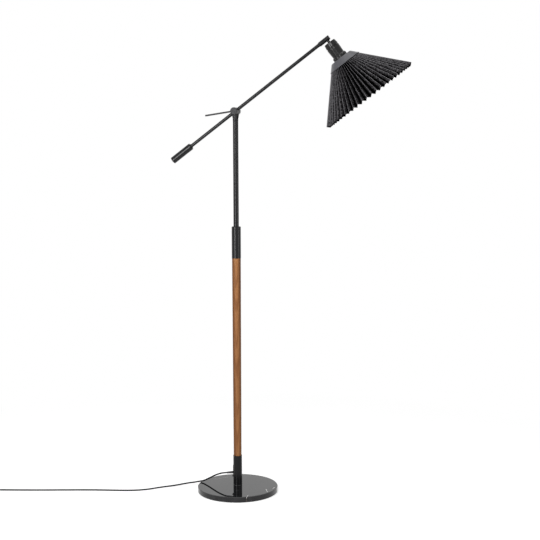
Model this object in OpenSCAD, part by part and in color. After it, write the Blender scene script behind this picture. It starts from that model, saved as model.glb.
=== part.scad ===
// Bridge floor lamp: marble foot, wood and steel pole, tilting counterweighted
// arm with a clamp lever, and a swivelling lampholder with a pleated shade.
// Millimetres, +Z up, origin at the centre of the foot's underside.
// The arm lies in the XZ plane with the head towards +X.

/* [Base] */
// Diameter of the marble foot
base_d = 267; // [220:1:320]
// Thickness of the marble foot
base_t = 18.5; // [14:0.5:30]
// Chamfer on the foot's edges
base_edge = 1.5; // [0.5:0.5:3]
// Thickness of the felt under the foot
felt_t = 1.5; // [1:0.5:3]
// Width of bare marble round the felt
felt_inset = 6; // [2:1:12]
// Diameter of the threaded tie tube
tie_d = 10; // [8:1:12]
// Diameter of the recess for the nut under the foot
recess_d = 44; // [36:1:60]
// Depth of that recess in the marble
recess_h = 9; // [8:0.5:12]

/* [Lower pole] */
// Outer diameter of the lower collar
collar_d = 29.4; // [27:0.1:36]
// Wall of the lower collar
collar_wall = 1.5; // [1.2:0.1:2.5]
// Length of the lower collar
collar_len = 103.5; // [80:0.5:140]
// Height of the plug in the foot of the collar
plug_h = 18; // [12:1:30]
// Height of the lead's outlet above the marble
outlet_h = 46; // [40:1:55]
// Droop of the outlet below level
outlet_droop = 8; // [0:1:15]
// Length of wood that shows
wood_len = 660.5; // [400:0.5:900]
// Diameter of the wood under the upper sleeve
wood_top_d = 28.8; // [27:0.1:32]
// Length of wood inside each metal fitting
wood_tenon = 28; // [20:1:35]
// Hole down the middle of the wood
wood_bore = 8; // [7:0.5:12]

/* [Upper pole] */
// Outer diameter of the upper sleeve
sleeve_d = 30.2; // [29:0.1:38]
// Wall of the upper sleeve
sleeve_wall = 1.5; // [1:0.1:2]
// Length of the upper sleeve
sleeve_len = 104; // [90:1:150]
// Depth of the bush below the sleeve's top edge
bush_drop = 3; // [1:0.5:6]
// Length of the bush
bush_h = 46; // [20:1:50]
// Outer diameter of the upper tube
pole_d = 17.8; // [14:0.1:20]
// Wall of the upper tube
pole_wall = 1.5; // [1:0.1:2.5]
// Length of upper tube that shows above the sleeve
pole_len = 342; // [200:1:500]

/* [Hub] */
// Diameter of the yoke's cheeks, the knob and the nut
hub_d = 24; // [22:0.5:32]
// Thickness of each yoke cheek
cheek_t = 5.2; // [4:0.2:8]
// Width of the slot between the cheeks
slot_w = 15.2; // [14.8:0.2:20]
// Depth of the slot below the hub axis
slot_h = 26; // [24:0.5:34]
// Length of the yoke below its slot, down to the tube
yoke_foot = 6; // [4:1:16]
// Diameter of the clamp screw
stud_d = 8; // [6:0.5:8]
// Thickness of each fibre washer
washer_t = 0.8; // [0.5:0.1:1.2]
// Thickness of the clamp knob
knob_t = 9.5; // [7:0.5:14]
// Thickness of the round nut behind the yoke
nut_t = 12; // [6:0.5:14]
// Diameter of the clamp lever
lever_d = 5.5; // [4:0.5:6]
// Reach of the clamp lever from the hub axis
lever_len = 98; // [60:1:130]
// Droop of the lever below level
lever_droop = 8.3; // [0:0.1:30]

/* [Arm] */
// Rise of the arm above level
arm_tilt = 36.6; // [20:0.1:50]
// Diameter of both arm rods
rod_d = 11; // [8:0.5:11.5]
// Bore of the upper rod for the lead
rod_bore = 7.6; // [6:0.1:8]
// Hub axis to the near end of the swivel sleeve
upper_reach = 341; // [250:1:450]
// Hub axis to the near end of the counterweight
lower_reach = 189; // [120:1:260]
// Diameter of the counterweight
weight_d = 22.8; // [18:0.5:40]
// Length of the counterweight
weight_len = 78; // [50:1:120]

/* [Head] */
// Swing of the head about the arm, away from hanging straight
head_swing = 8; // [-30:0.5:30]
// Outer diameter of the swivel sleeve
swivel_d = 15; // [13:0.1:18]
// Length of the swivel sleeve
swivel_len = 42.4; // [38:1:60]
// Diameter of the swivel pin
pin_d = 9; // [8.5:0.1:10]
// Diameter of the nipple between the sleeve and the lampholder
nipple_d = 9.2; // [8:0.1:10]
// Length of nipple that shows
nipple_len = 5.7; // [5:0.1:20]
// Top diameter of the lampholder cap
cap_d = 38.8; // [32:0.5:42]
// Height of the lampholder cap
cap_h = 16.3; // [12:0.1:20]
// Largest diameter of the lampholder
holder_d = 42.4; // [41:0.1:46]
// Height of the lampholder body that shows
holder_h = 32; // [28:0.5:50]
// Diameter of the lampholder's threaded skirt
skirt_d = 39.5; // [39:0.1:40]
// Diameter of the ring above the shade
ring_d = 48; // [44:0.5:56]
// Height of the ring above the shade
ring_h = 12; // [8:0.5:16]
// Bore of the lamp thread, E27
socket_d = 26.6; // [26.4:0.1:27]

/* [Shade] */
// Top diameter of the metal shade collar
crown_d = 74.4; // [66:0.5:90]
// Bottom diameter of the metal shade collar
crown_rim_d = 112; // [98:0.5:130]
// Height of the metal shade collar
crown_h = 21.1; // [16:0.5:30]
// Thickness of the collar's sheet
crown_t = 1; // [0.8:0.1:1.5]
// Diameter of the shade over its outer folds at the rim
shade_d = 335; // [280:1:420]
// Height from the collar's bottom edge to the outer folds at the rim
shade_h = 125; // [100:1:180]
// Number of pleats
pleats = 58; // [48:1:72]
// Width of one pleat face
pleat_w = 15; // [12:0.5:17]
// Thickness of the pleated fabric
fabric_t = 0.6; // [0.4:0.1:0.8]

/* [Cord] */
// Diameter of the mains lead
cord_d = 5; // [4.5:0.1:5]
// Length of the tapered strain relief
relief_len = 24; // [20:1:40]
// Space between the middles of neighbouring turns of the coil
turn_step = 5.6; // [5.5:0.1:6]

/* [Hidden] */

$fn = 96;
fit = 0.05;         // radial gap of pressed, glued and screwed joints
run = 0.05;         // radial gap of turning joints
face_gap = 0.1;     // gap between flat faces that turn on each other
seat = 0.2;         // gap between a soft or loose piece and its seat
eps = 0.01;

black = [0.07, 0.07, 0.075];
satin = [0.12, 0.12, 0.13];
brass = [0.78, 0.62, 0.3];
steel = [0.6, 0.6, 0.62];

base_h = felt_t + base_t;
collar_top = base_h + collar_len;
collar_bore = collar_d - 2 * collar_wall;
wood_foot_d = collar_bore - 2 * fit;
wood_top = collar_top + wood_len;
sleeve_bore = sleeve_d - 2 * sleeve_wall;
sleeve_top = wood_top + sleeve_len;
bush_top = sleeve_top - bush_drop;
pole_top = sleeve_top + pole_len;
pole_bore = pole_d - 2 * pole_wall;
hub_z = pole_top + yoke_foot + slot_h;
outlet_z = base_h + outlet_h;

// Hub stack along Y, measured from the arm's middle plane
slot_y = slot_w / 2;
cheek_y = slot_y + cheek_t;
block_w = slot_w - 2 * washer_t - 4 * face_gap;
block_d = hub_d - 1;
rod_root = stud_d / 2 + 1.6;
knob_y = cheek_y + face_gap;

// Head stack along the lamp axis, measured from the arm's axis
neck_x = upper_reach + swivel_len - nipple_d / 2 - 5.4;
pin_len = swivel_len - nipple_d - 8;
cap_z = swivel_d / 2 + nipple_len;
holder_z = cap_z + cap_h;
ring_z = holder_z + holder_h;
crown_z = ring_z + ring_h + fit;
lower_ring_z = crown_z + crown_t + fit;
lower_ring_h = 8;
skirt_end = lower_ring_z + lower_ring_h + 6;
core_r = 16.9;
shell_len = 27;
shell_z = skirt_end - shell_len - 2;

cord_r = cord_d / 2;
wire_d = 4.8;       // sheathed lead inside the lamp

module at_arm() {
    translate([0, 0, hub_z]) rotate([0, -arm_tilt, 0]) children();
}

// Local Z runs from the arm's axis down through the lampholder to the shade's mouth
module at_head() {
    at_arm() translate([neck_x, 0, 0]) rotate([180 + head_swing, 0, 0]) children();
}

module ring(d_out, d_in, h) {
    difference() {
        cylinder(d = d_out, h = h);
        translate([0, 0, -eps]) cylinder(d = d_in, h = h + 2 * eps);
    }
}

// Round bar along Z with chamfered ends
module bar(d, h, c) {
    rotate_extrude() polygon([[0, 0], [d / 2 - c, 0], [d / 2, c],
        [d / 2, h - c], [d / 2 - c, h], [0, h]]);
}

// Local Z runs out through the lead's outlet, on the side away from the head
module at_outlet() {
    translate([0, 0, outlet_z]) rotate([0, -90 - outlet_droop, 0]) children();
}

module along_x() { rotate([0, 90, 0]) children(); }
module along_y() { rotate([-90, 0, 0]) children(); }

// ---- Foot ----

module base_disc() {
    r = base_d / 2;
    color([0.05, 0.05, 0.055]) translate([0, 0, felt_t]) difference() {
        rotate_extrude() polygon([[0, 0], [r - base_edge, 0], [r, base_edge],
            [r, base_t - base_edge], [r - base_edge, base_t], [0, base_t]]);
        translate([0, 0, -eps]) cylinder(d = recess_d, h = recess_h + eps);
        translate([0, 0, -eps]) cylinder(d = tie_d + 2 * fit, h = base_t + 2 * eps);
    }
}

module felt_pad() {
    color([0.1, 0.1, 0.1]) cylinder(d = base_d - 2 * felt_inset, h = felt_t);
}

washer_h = 2;
washer_d = recess_d - 8;
nut_h = 5;
nut_d = 1.96 * tie_d;
tie_wall = 1.5;
tie_spare = 0.5;    // end of the tie tube below its nut
module base_washer() {
    color(steel) translate([0, 0, felt_t + recess_h - washer_h])
        ring(washer_d, tie_d + 2 * fit, washer_h);
}

module base_nut() {
    color(steel) translate([0, 0, felt_t + recess_h - washer_h - nut_h]) difference() {
        cylinder(d = nut_d, h = nut_h, $fn = 6);
        translate([0, 0, -eps]) cylinder(d = tie_d + 2 * fit, h = nut_h + 2 * eps);
    }
}

module tie_tube() {
    foot = felt_t + recess_h - washer_h - nut_h - tie_spare;
    color(steel) translate([0, 0, foot])
        ring(tie_d, tie_d - 2 * tie_wall, base_h + plug_h - foot);
}

// ---- Lower pole ----

module lower_collar() {
    color(black) difference() {
        translate([0, 0, base_h]) ring(collar_d, collar_bore, collar_len);
        at_outlet() cylinder(d = relief_root_d + 2 * fit, h = collar_d);
        translate([0, 0, screw_z]) rotate([0, -90, 0])
            cylinder(d = screw_d + 2 * fit, h = collar_d);
    }
}

module collar_plug() {
    color(steel) translate([0, 0, base_h]) ring(collar_bore - 2 * fit, tie_d + 2 * fit, plug_h);
}

// Raised oblong plate that frames the lead's outlet, on the side away from the head
plate_w = 12;
plate_t = 1.2;
plate_low = 9;
plate_high = 23;
module outlet_plate() {
    x_out = collar_d / 2 + plate_t;
    color(black) difference() {
        intersection() {
            translate([0, 0, outlet_z]) rotate([0, -90, 0]) linear_extrude(x_out) {
                translate([plate_high - plate_w / 2, 0]) circle(d = plate_w);
                translate([plate_w / 2 - plate_low, 0]) circle(d = plate_w);
                translate([plate_w / 2 - plate_low, -plate_w / 2])
                    square([plate_high + plate_low - plate_w, plate_w]);
            }
            translate([0, 0, base_h]) cylinder(r = x_out, h = collar_len);
        }
        translate([0, 0, base_h - eps]) cylinder(d = collar_d + 2 * fit, h = collar_len + 1);
        at_outlet() cylinder(d = relief_root_d + 2 * fit, h = collar_d);
    }
}

screw_d = 4;
screw_head_d = 7.4;
screw_head_h = 3.4;
slot_cut = 1;       // width and depth of a screwdriver slot
screw_z = outlet_z - plate_low - screw_head_d / 2 - 0.8;
module outlet_screw() {
    inside = collar_d / 2 - collar_wall - 1;
    color(satin) translate([0, 0, screw_z]) rotate([0, -90, 0]) {
        translate([0, 0, inside]) cylinder(d = screw_d, h = collar_d / 2 - inside + 1);
        difference() {
            translate([0, 0, collar_d / 2 + fit]) bar(screw_head_d, screw_head_h, 0.9);
            translate([-screw_head_d, -slot_cut / 2, collar_d / 2 + screw_head_h - slot_cut])
                cube([2 * screw_head_d, slot_cut, 2 * slot_cut]);
        }
    }
}

// Tapered rubber sleeve that the lead runs through
relief_root_d = 8.4;
relief_tip_d = 6.2;
relief_root = collar_d / 2 - collar_wall;
module strain_relief() {
    color(black) at_outlet() difference() {
        rotate_extrude() polygon([[0, relief_root], [relief_root_d / 2, relief_root],
            [relief_root_d / 2, collar_d / 2 + plate_t + 2],
            [relief_tip_d / 2, relief_root + relief_len], [0, relief_root + relief_len]]);
        translate([0, 0, relief_root - 1]) cylinder(d = cord_d + 2 * fit, h = relief_len + 2);
    }
}

module wood_pole() {
    foot_r = wood_foot_d / 2;
    tenon_r = sleeve_bore / 2 - fit;
    color([0.5, 0.31, 0.18]) difference() {
        rotate_extrude() polygon([[0, collar_top - wood_tenon], [foot_r, collar_top - wood_tenon],
            [foot_r, collar_top], [wood_top_d / 2, wood_top], [tenon_r, wood_top],
            [tenon_r, wood_top + wood_tenon], [0, wood_top + wood_tenon]]);
        translate([0, 0, collar_top - wood_tenon - 1])
            cylinder(d = wood_bore, h = wood_len + 2 * wood_tenon + 2);
    }
}

// ---- Upper pole ----

module upper_sleeve() {
    color(black) translate([0, 0, wood_top]) difference() {
        bar(sleeve_d, sleeve_len, 0.5);
        translate([0, 0, -eps]) cylinder(d = sleeve_bore, h = sleeve_len + 2 * eps);
    }
}

module sleeve_bush() {
    color(black) translate([0, 0, bush_top - bush_h])
        ring(sleeve_bore - 2 * fit, pole_d + 2 * fit, bush_h);
}

module upper_pole() {
    color(black) translate([0, 0, bush_top - bush_h])
        ring(pole_d, pole_bore, pole_top - bush_top + bush_h);
}

yoke_plug = 24;
wire_bore = wire_d + 1.2;
module pole_yoke() {
    color(satin) difference() {
        union() {
            translate([0, 0, pole_top - yoke_plug])
                cylinder(d = pole_bore - 2 * fit, h = yoke_plug + 1);
            hull() {
                translate([0, 0, pole_top + fit]) cylinder(d = pole_d, h = 1, $fn = 32);
                translate([0, -cheek_y, hub_z]) along_y()
                    cylinder(d = pole_d, h = 2 * cheek_y, $fn = 32);
            }
            translate([0, -cheek_y, hub_z]) along_y() cylinder(d = hub_d, h = 2 * cheek_y);
        }
        translate([-hub_d, -slot_y, hub_z - slot_h]) cube([2 * hub_d, slot_w, slot_h + hub_d]);
        translate([0, -cheek_y - 1, hub_z]) along_y()
            cylinder(d = stud_d + 2 * run, h = 2 * cheek_y + 2);
        translate([0, 0, pole_top - yoke_plug - 1])
            cylinder(d = wire_bore, h = yoke_plug + yoke_foot + 2);
    }
}

nut_cap = 2;        // closed end of the round nut
module hub_nut() {
    color(satin) translate([0, cheek_y + fit, hub_z]) along_y() difference() {
        bar(hub_d - 0.6, nut_t, 1);
        translate([0, 0, -eps]) cylinder(d = stud_d + 2 * run, h = nut_t - nut_cap);
    }
}

// Sheathed lead from the outlet to the yoke, with a bend inside the collar
lead_bend = 7.5;
module pole_lead() {
    turn = 90 - outlet_droop;
    tangent = lead_bend * tan(turn / 2);
    top = hub_z - slot_h - 1;
    lap = 0.3;
    color([0.15, 0.15, 0.15]) {
        translate([0, 0, outlet_z + tangent - lap])
            cylinder(d = wire_d, h = top - outlet_z - tangent + lap);
        translate([-lead_bend, 0, outlet_z + tangent]) rotate([90, 0, 0])
            rotate_extrude(angle = -turn) translate([lead_bend, 0]) circle(d = wire_d);
        at_outlet() translate([0, 0, tangent - lap])
            cylinder(d = wire_d, h = relief_root - tangent + lap);
    }
}

// ---- Clamp ----

// The knob and its screw are one turned piece; the lever is pressed into its side
stud_len = knob_y + cheek_y + nut_t - nut_cap - 2;
lever_root = stud_d / 2 + 1;
module clamp_knob() {
    color(satin) translate([0, -knob_y, hub_z]) rotate([90, 0, 0]) difference() {
        union() {
            bar(hub_d, knob_t, 1);
            translate([0, 0, -stud_len]) cylinder(d = stud_d, h = stud_len + 1);
        }
        rotate([0, 0, 180 + lever_droop]) translate([lever_root, 0, knob_t / 2])
            along_x() cylinder(d = lever_d + 2 * fit, h = hub_d);
    }
}

module clamp_lever() {
    color(satin) translate([0, -knob_y - knob_t / 2, hub_z]) rotate([0, 180 - lever_droop, 0])
        translate([lever_root + fit, 0, 0]) along_x()
            bar(lever_d, lever_len - lever_root - fit, 1);
}

// ---- Arm ----

module arm_block() {
    color(satin) at_arm() difference() {
        translate([0, -block_w / 2, 0]) along_y() cylinder(d = block_d, h = block_w);
        translate([0, -block_w, 0]) along_y() cylinder(d = stud_d + 2 * run, h = 2 * block_w);
        for (side = [0, 180]) rotate([0, side, 0]) translate([rod_root, 0, 0])
            along_x() cylinder(d = rod_d + 2 * fit, h = block_d);
    }
}

module fibre_washers() {
    color([0.45, 0.2, 0.12]) for (side = [-1, 1])
        translate([0, side * (block_w / 2 + face_gap + washer_t / 2) - washer_t / 2, hub_z])
            along_y() ring(block_d - 2, stud_d + 2 * run, washer_t);
}

weight_grip = 20;   // length of rod inside the counterweight
module lower_arm() {
    color(black) at_arm() rotate([0, 180, 0]) translate([rod_root + fit, 0, 0])
        along_x() cylinder(d = rod_d, h = lower_reach + weight_grip - rod_root - fit);
}

ring_w = 3;
module counterweight() {
    color(black) at_arm() rotate([0, 180, 0]) translate([lower_reach, 0, 0]) along_x() difference() {
        bar(weight_d, weight_len, 0.8);
        translate([0, 0, -eps]) cylinder(d = rod_d + 2 * fit, h = weight_grip + fit);
    }
}

module weight_ring() {
    color(black) at_arm() rotate([0, 180, 0]) translate([lower_reach - ring_w - fit, 0, 0])
        along_x() difference() {
            bar(rod_d + 3.4, ring_w, 0.6);
            translate([0, 0, -eps]) cylinder(d = rod_d + 2 * fit, h = ring_w + 2 * eps);
        }
}

module upper_arm() {
    color(black) at_arm() translate([rod_root + fit, 0, 0]) along_x()
        ring(rod_d, rod_bore, upper_reach - face_gap - rod_root - fit);
}

grub_d = 3;
groove_w = grub_d + 0.4;
groove_t = 1;
groove_x = pin_len / 2;
module swivel_pin() {
    seat_len = 20;
    color(steel) at_arm() translate([upper_reach - face_gap, 0, 0]) along_x() difference() {
        union() {
            translate([0, 0, -seat_len]) cylinder(d = rod_bore - 2 * fit, h = seat_len + 1);
            translate([0, 0, fit]) cylinder(d = pin_d, h = pin_len);
        }
        translate([0, 0, -seat_len - 1]) cylinder(d = wire_d + 2 * seat, h = seat_len + pin_len + 2);
        translate([0, 0, groove_x - groove_w / 2]) ring(pin_d + 1, pin_d - 2 * groove_t, groove_w);
    }
}

module arm_lead() {
    color([0.15, 0.15, 0.15]) at_arm() translate([rod_root + 1, 0, 0]) along_x()
        cylinder(d = wire_d, h = upper_reach + pin_len - rod_root - 1);
}

// ---- Head ----

module swivel_sleeve() {
    step = 3;
    r = swivel_d / 2;
    color(black) at_arm() translate([upper_reach, 0, 0]) rotate([head_swing, 0, 0]) difference() {
        along_x() rotate_extrude() polygon([[0, 0], [r - 1.2, 0], [r - 1.2, step],
            [r, step + 1.2], [r, swivel_len - 0.4], [r - 0.4, swivel_len], [0, swivel_len]]);
        translate([-1, 0, 0]) along_x() cylinder(d = pin_d + 2 * run, h = pin_len + 2);
        along_x() cylinder(d = wire_bore, h = neck_x - upper_reach);
        translate([neck_x - upper_reach, 0, -swivel_d])
            cylinder(d = nipple_d + 2 * fit, h = swivel_d + nipple_d / 2);
        translate([groove_x, 0, 0]) along_y() cylinder(d = grub_d + 2 * fit, h = swivel_d);
    }
}

module retaining_screw() {
    tip = pin_d / 2 - groove_t + 0.15;
    head = swivel_d / 2 - tip - 0.3;
    key_d = 0.57 * grub_d;
    color(satin) at_arm() translate([upper_reach + groove_x, 0, 0]) rotate([head_swing, 0, 0])
        translate([0, tip, 0]) along_y() difference() {
            cylinder(d = grub_d, h = head);
            translate([0, 0, head - 1.2]) cylinder(d = key_d, h = 2, $fn = 6);
        }
}

module neck_nipple() {
    inner = 4.4;
    tail = 8;
    color(black) at_head() translate([0, 0, -inner])
        ring(nipple_d, wire_d + 0.6, cap_z + inner + tail);
}

wire_hole_h = 6;    // depth of the lead's hole in the socket core
module head_lead() {
    start = -wire_d / 2;
    color([0.15, 0.15, 0.15]) at_head() translate([0, 0, start])
        cylinder(d = wire_d, h = core_z + wire_hole_h - 2 - start);
}

cap_top = 3.5;      // thickness of the cap's threaded top
module holder_cap() {
    r = cap_d / 2;
    rb = holder_d / 2;
    round = 3;
    color(black) at_head() translate([0, 0, cap_z]) difference() {
        rotate_extrude() polygon([[0, 0], [r - round, 0],
            for (a = [15:15:75]) [r - round + round * sin(a), round - round * cos(a)],
            [r, round], [rb, cap_h - 2.2], [rb, cap_h - 1], [rb - 0.8, cap_h], [0, cap_h]]);
        translate([0, 0, -1]) cylinder(d = nipple_d + 2 * fit, h = cap_h);
        translate([0, 0, cap_top]) rotate_extrude() polygon([[0, 0], [r - round - 1, 0],
            [rb - 3, cap_h - cap_top - 0.5], [rb - 3, cap_h], [0, cap_h]]);
    }
}

module holder_body() {
    rb = holder_d / 2;
    rs = skirt_d / 2;
    color(black) at_head() translate([0, 0, holder_z]) difference() {
        rotate_extrude() polygon([[0, fit], [rb - 1.3, fit], [rb - 1.3, 1.6], [rb, 2.6], [rb, 8],
            [rs + 0.5, holder_h - 1], [rs, holder_h - 0.5], [rs, skirt_end - holder_z],
            [0, skirt_end - holder_z]]);
        translate([0, 0, -eps]) cylinder(r = core_r + fit, h = skirt_end);
    }
}

// Threaded ring with grip flutes; the shade hangs between two of them
module shade_ring(d_top, d, h, lip) {
    flutes = 20;
    difference() {
        rotate_extrude() polygon([[skirt_d / 2 + fit, 0], [d_top / 2, 0], [d / 2, lip],
            [d / 2, h - 0.6], [d / 2 - 0.6, h], [skirt_d / 2 + fit, h]]);
        for (k = [0:flutes - 1]) rotate([0, 0, k * 360 / flutes])
            translate([d / 2 + 0.9, 0, lip + 0.4]) cylinder(d = 3.2, h = h - lip - 2.8, $fn = 24);
    }
}

module upper_ring() {
    color(black) at_head() translate([0, 0, ring_z])
        shade_ring(skirt_d + 2, ring_d, ring_h, 3.6);
}

module lower_ring() {
    color(black) at_head() translate([0, 0, lower_ring_z + lower_ring_h])
        mirror([0, 0, 1]) shade_ring(skirt_d + 5, ring_d + 6, lower_ring_h, 1);
}

core_h = 18;
core_z = shell_z - core_h - fit;
well_h = 3.3;       // depth of the round well that the centre contact stands in
terminal_x = 10;
terminal_d = 4;
terminal_head_h = 3;
module socket_core() {
    color([0.92, 0.9, 0.85]) at_head() translate([0, 0, core_z]) difference() {
        cylinder(r = core_r, h = core_h);
        translate([0, 0, core_h - well_h]) cylinder(d = 18, h = well_h + 1);
        translate([0, 0, -1]) cylinder(d = wire_d + 2 * seat, h = wire_hole_h + 1);
        for (side = [-1, 1]) translate([side * terminal_x, 0, -1])
            cylinder(d = terminal_d + 2 * fit, h = 6);
    }
}

module terminal_screws() {
    color(brass) at_head() translate([0, 0, core_z]) for (side = [-1, 1])
        translate([side * terminal_x, 0, -terminal_head_h]) difference() {
            union() {
                cylinder(d = 1.6 * terminal_d, h = terminal_head_h - fit);
                cylinder(d = terminal_d, h = terminal_head_h + 4);
            }
            translate([-terminal_d, -slot_cut / 2, -slot_cut])
                cube([2 * terminal_d, slot_cut, 2 * slot_cut]);
        }
}

shell_t = 0.6;
module socket_shell() {
    color(brass) at_head() translate([0, 0, shell_z])
        ring(socket_d + 2 * shell_t, socket_d, shell_len);
}

module centre_contact() {
    color(brass) at_head() translate([0, 0, shell_z - well_h]) bar(7, 2.5, 0.6);
}

// ---- Shade ----

// The collar is a spun sheet cone with a flat top and a rolled bottom edge
module shade_collar() {
    top_r = crown_d / 2;
    rim_r = crown_rim_d / 2;
    bead = 0.8;
    slope = (rim_r - top_r) / crown_h;
    wall_x = crown_t * sqrt(1 + slope * slope);
    color([0.3, 0.3, 0.32]) at_head() translate([0, 0, crown_z]) rotate_extrude() {
        polygon([[skirt_d / 2 + 2 * fit, 0], [top_r - 1, 0], [top_r, 0.8], [rim_r, crown_h],
            [rim_r - wall_x, crown_h], [top_r - wall_x, crown_t], [skirt_d / 2 + 2 * fit, crown_t]]);
        translate([rim_r, crown_h - bead]) circle(r = bead, $fn = 24);
    }
}

// Every outer fold is a straight line down the cone. Each face keeps its width,
// so the folds are deep and close at the collar and open out at the rim, and the
// cut edge, square to the folds, drops the inner folds below the outer ones.
half_pleat = 180 / pleats;
fold_in = 10;
fold_top_z = crown_z + crown_h - fold_in;
crown_slope = (crown_rim_d - crown_d) / 2 / crown_h;
fold_rim_z = crown_z + crown_h + shade_h;
fold_crown_r = crown_rim_d / 2 - crown_t * sqrt(1 + crown_slope * crown_slope) - seat;
shade_slope = (shade_d / 2 - fold_crown_r) / shade_h;
fold_top_r = fold_crown_r - fold_in * shade_slope;
shade_angle = atan(shade_slope);
shade_steps = 3;

function fold_r(t) = fold_top_r + t * (shade_d / 2 - fold_top_r);
function fold_z(t) = fold_top_z + t * (fold_rim_z - fold_top_z);
// Half the spacing of the outer folds, and the depth of a fold square to the cone
function half_step(t) = (fold_r(t) - 4) * sin(half_pleat);
function fold_depth(t) = sqrt(pleat_w * pleat_w - half_step(t) * half_step(t));
function skin(t) = fabric_t * pleat_w / half_step(t) * 0.8;
function inward(t, d) = [fold_r(t) - d * cos(shade_angle), fold_z(t) + d * sin(shade_angle)];
function at_angle(p, a) = [p[0] * cos(a), p[0] * sin(a), p[1]];
// Ring of points at height t: outer skin (side 0) or inner skin (side 1)
function fold_ring(t, side) = [for (k = [0:2 * pleats - 1])
    at_angle(inward(t, (k % 2) * fold_depth(t) + side * skin(t)), k * half_pleat)];

module pleated_shade() {
    n = 2 * pleats;
    points = concat(
        [for (s = [0:shade_steps]) each fold_ring(s / shade_steps, 0)],
        [for (s = [0:shade_steps]) each fold_ring(s / shade_steps, 1)]);
    inner = n * (shade_steps + 1);
    function quad(a, b, c, d) = [[a, b, c], [a, c, d]];
    walls = [for (s = [0:shade_steps - 1]) for (k = [0:n - 1]) let (j = (k + 1) % n)
        each concat(
            quad(s * n + k, s * n + j, (s + 1) * n + j, (s + 1) * n + k),
            quad(inner + s * n + k, inner + (s + 1) * n + k,
                inner + (s + 1) * n + j, inner + s * n + j))];
    last = shade_steps * n;
    edges = [for (k = [0:n - 1]) let (j = (k + 1) % n)
        each concat(
            quad(k, inner + k, inner + j, j),
            quad(last + k, last + j, inner + last + j, inner + last + k))];
    color([0.1, 0.1, 0.11]) at_head()
        polyhedron(points = points, faces = concat(walls, edges), convexity = 10);
}

// ---- Mains lead ----

// Route of the lead from the strain relief to the coil, over the rim of the
// foot and along the floor to the left
relief_end = relief_root + relief_len;
outlet_way = [-cos(outlet_droop), 0, -sin(outlet_droop)];
outlet_eye = [0, 0, outlet_z];
coil_c = [-846, -161];
coil_lift = 1;
coil_z = cord_r + coil_lift;
turns = 3;
coil_out = 38.5;
coil_in = coil_out - turns * turn_step;
coil_a0 = 284;
coil_exit = 2.75;
lead_route = [
    [-56, 3, 57], [-70, 5, 52], [-84, 7, 45.5], [-98, 7.5, 37.6],
    [-112, 7.5, 30.2], [-124, 7, 24.8], [-134, 7, 22.4], [-146, 8, 19.4], [-158, 10, 16.2],
    [-172, 12, 13], [-188, 11, 9.6], [-206, 6, 6.4], [-226, -4, 4], [-248, -17, 2.9],
    [-270, -34, 2.6], [-292, -55, 2.6], [-316, -71, 2.6], [-344, -83, 2.6], [-380, -92, 2.6],
    [-430, -101, 2.6], [-490, -113, 2.6], [-560, -130, 2.6], [-630, -148, 2.6],
    [-700, -165, 2.8], [-760, -179.3, 3.2], [-806, -190.8, 3.5]];
tail_route = [[-884.5, -154, 8.6], [-886, -142, 7.7], [-886.5, -128, 7], [-886, -114, 6.6]];

// Smooth curve through the points: Catmull-Rom, n steps between neighbours
function spline_at(p0, p1, p2, p3, t) = 0.5 * (2 * p1 + (p2 - p0) * t
    + (2 * p0 - 5 * p1 + 4 * p2 - p3) * t * t + (3 * p1 - 3 * p2 + p3 - p0) * t * t * t);
function spline(p, n) = let (m = len(p) - 1) [for (i = [0:m - 1]) for (s = [0:n - 1])
    spline_at(p[max(i - 1, 0)], p[i], p[i + 1], p[min(i + 2, m)], s / n), p[m]];
function unit(v) = v / norm(v);
function direction(p, i) = unit(p[min(i + 1, len(p) - 1)] - p[max(i - 1, 0)]);
// One ring of a round tube: level side, then up
function tube_ring(c, d, r, sides) = let (side = unit([d[1], -d[0], 0]), up = cross(side, d))
    [for (k = [0:sides - 1]) let (a = (k + 0.5) * 360 / sides) c + r * (cos(a) * side + sin(a) * up)];

module tube(path, r, sides) {
    n = len(path);
    rings = [for (i = [0:n - 1]) each tube_ring(path[i], direction(path, i), r, sides)];
    sides_faces = [for (i = [0:n - 2]) for (k = [0:sides - 1]) let (j = (k + 1) % sides)
        each [[i * sides + k, i * sides + j, (i + 1) * sides + j],
            [i * sides + k, (i + 1) * sides + j, (i + 1) * sides + k]]];
    caps = [[for (k = [sides - 1:-1:0]) k], [for (k = [0:sides - 1]) (n - 1) * sides + k]];
    polyhedron(points = rings, faces = concat(sides_faces, caps), convexity = 10);
}

module cord_lead() {
    color([0.05, 0.05, 0.05]) tube(
        concat([outlet_eye + (relief_root + seat) * outlet_way, outlet_eye + relief_end * outlet_way,
            outlet_eye + (relief_end + cord_d) * outlet_way], spline(lead_route, 2), [coil_start]),
        cord_r, 8);
}

// The coil winds inwards on the bottom layer, climbs over the half turn where the
// spiral reverses and winds outwards on top; both ends run straight for one diameter
function coil_r(a) = a <= 360 * turns + 90 ? coil_out - turn_step * a / 360
    : coil_in + turn_step * (a - 360 * turns - 180) / 360;
function coil_rise(a) = let (s = (a - 360 * turns) / 180)
    a <= 360 * turns ? 0 : a >= 360 * turns + 180 ? 1 : (1 - cos(180 * s)) / 2;
function coil_point(a) = [coil_c[0] + coil_r(a) * cos(coil_a0 - a),
    coil_c[1] + coil_r(a) * sin(coil_a0 - a), coil_z + turn_step * coil_rise(a)];
coil_sweep = 360 * (turns + coil_exit) + 180;
coil_way_in = [sin(coil_a0), -cos(coil_a0), 0];
coil_way_out = [sin(coil_a0 - coil_sweep), -cos(coil_a0 - coil_sweep), 0];
coil_start = coil_point(0) - cord_d * coil_way_in;
coil_end = coil_point(coil_sweep) + cord_d * coil_way_out;
coil_path = concat([coil_start], [for (a = [0:15:coil_sweep]) coil_point(a)], [coil_end]);
coil_gap = min([for (i = [0:len(coil_path) - 1]) for (j = [i + 12:1:len(coil_path) - 1])
    norm(coil_path[i] - coil_path[j])]) - cord_d;
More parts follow.
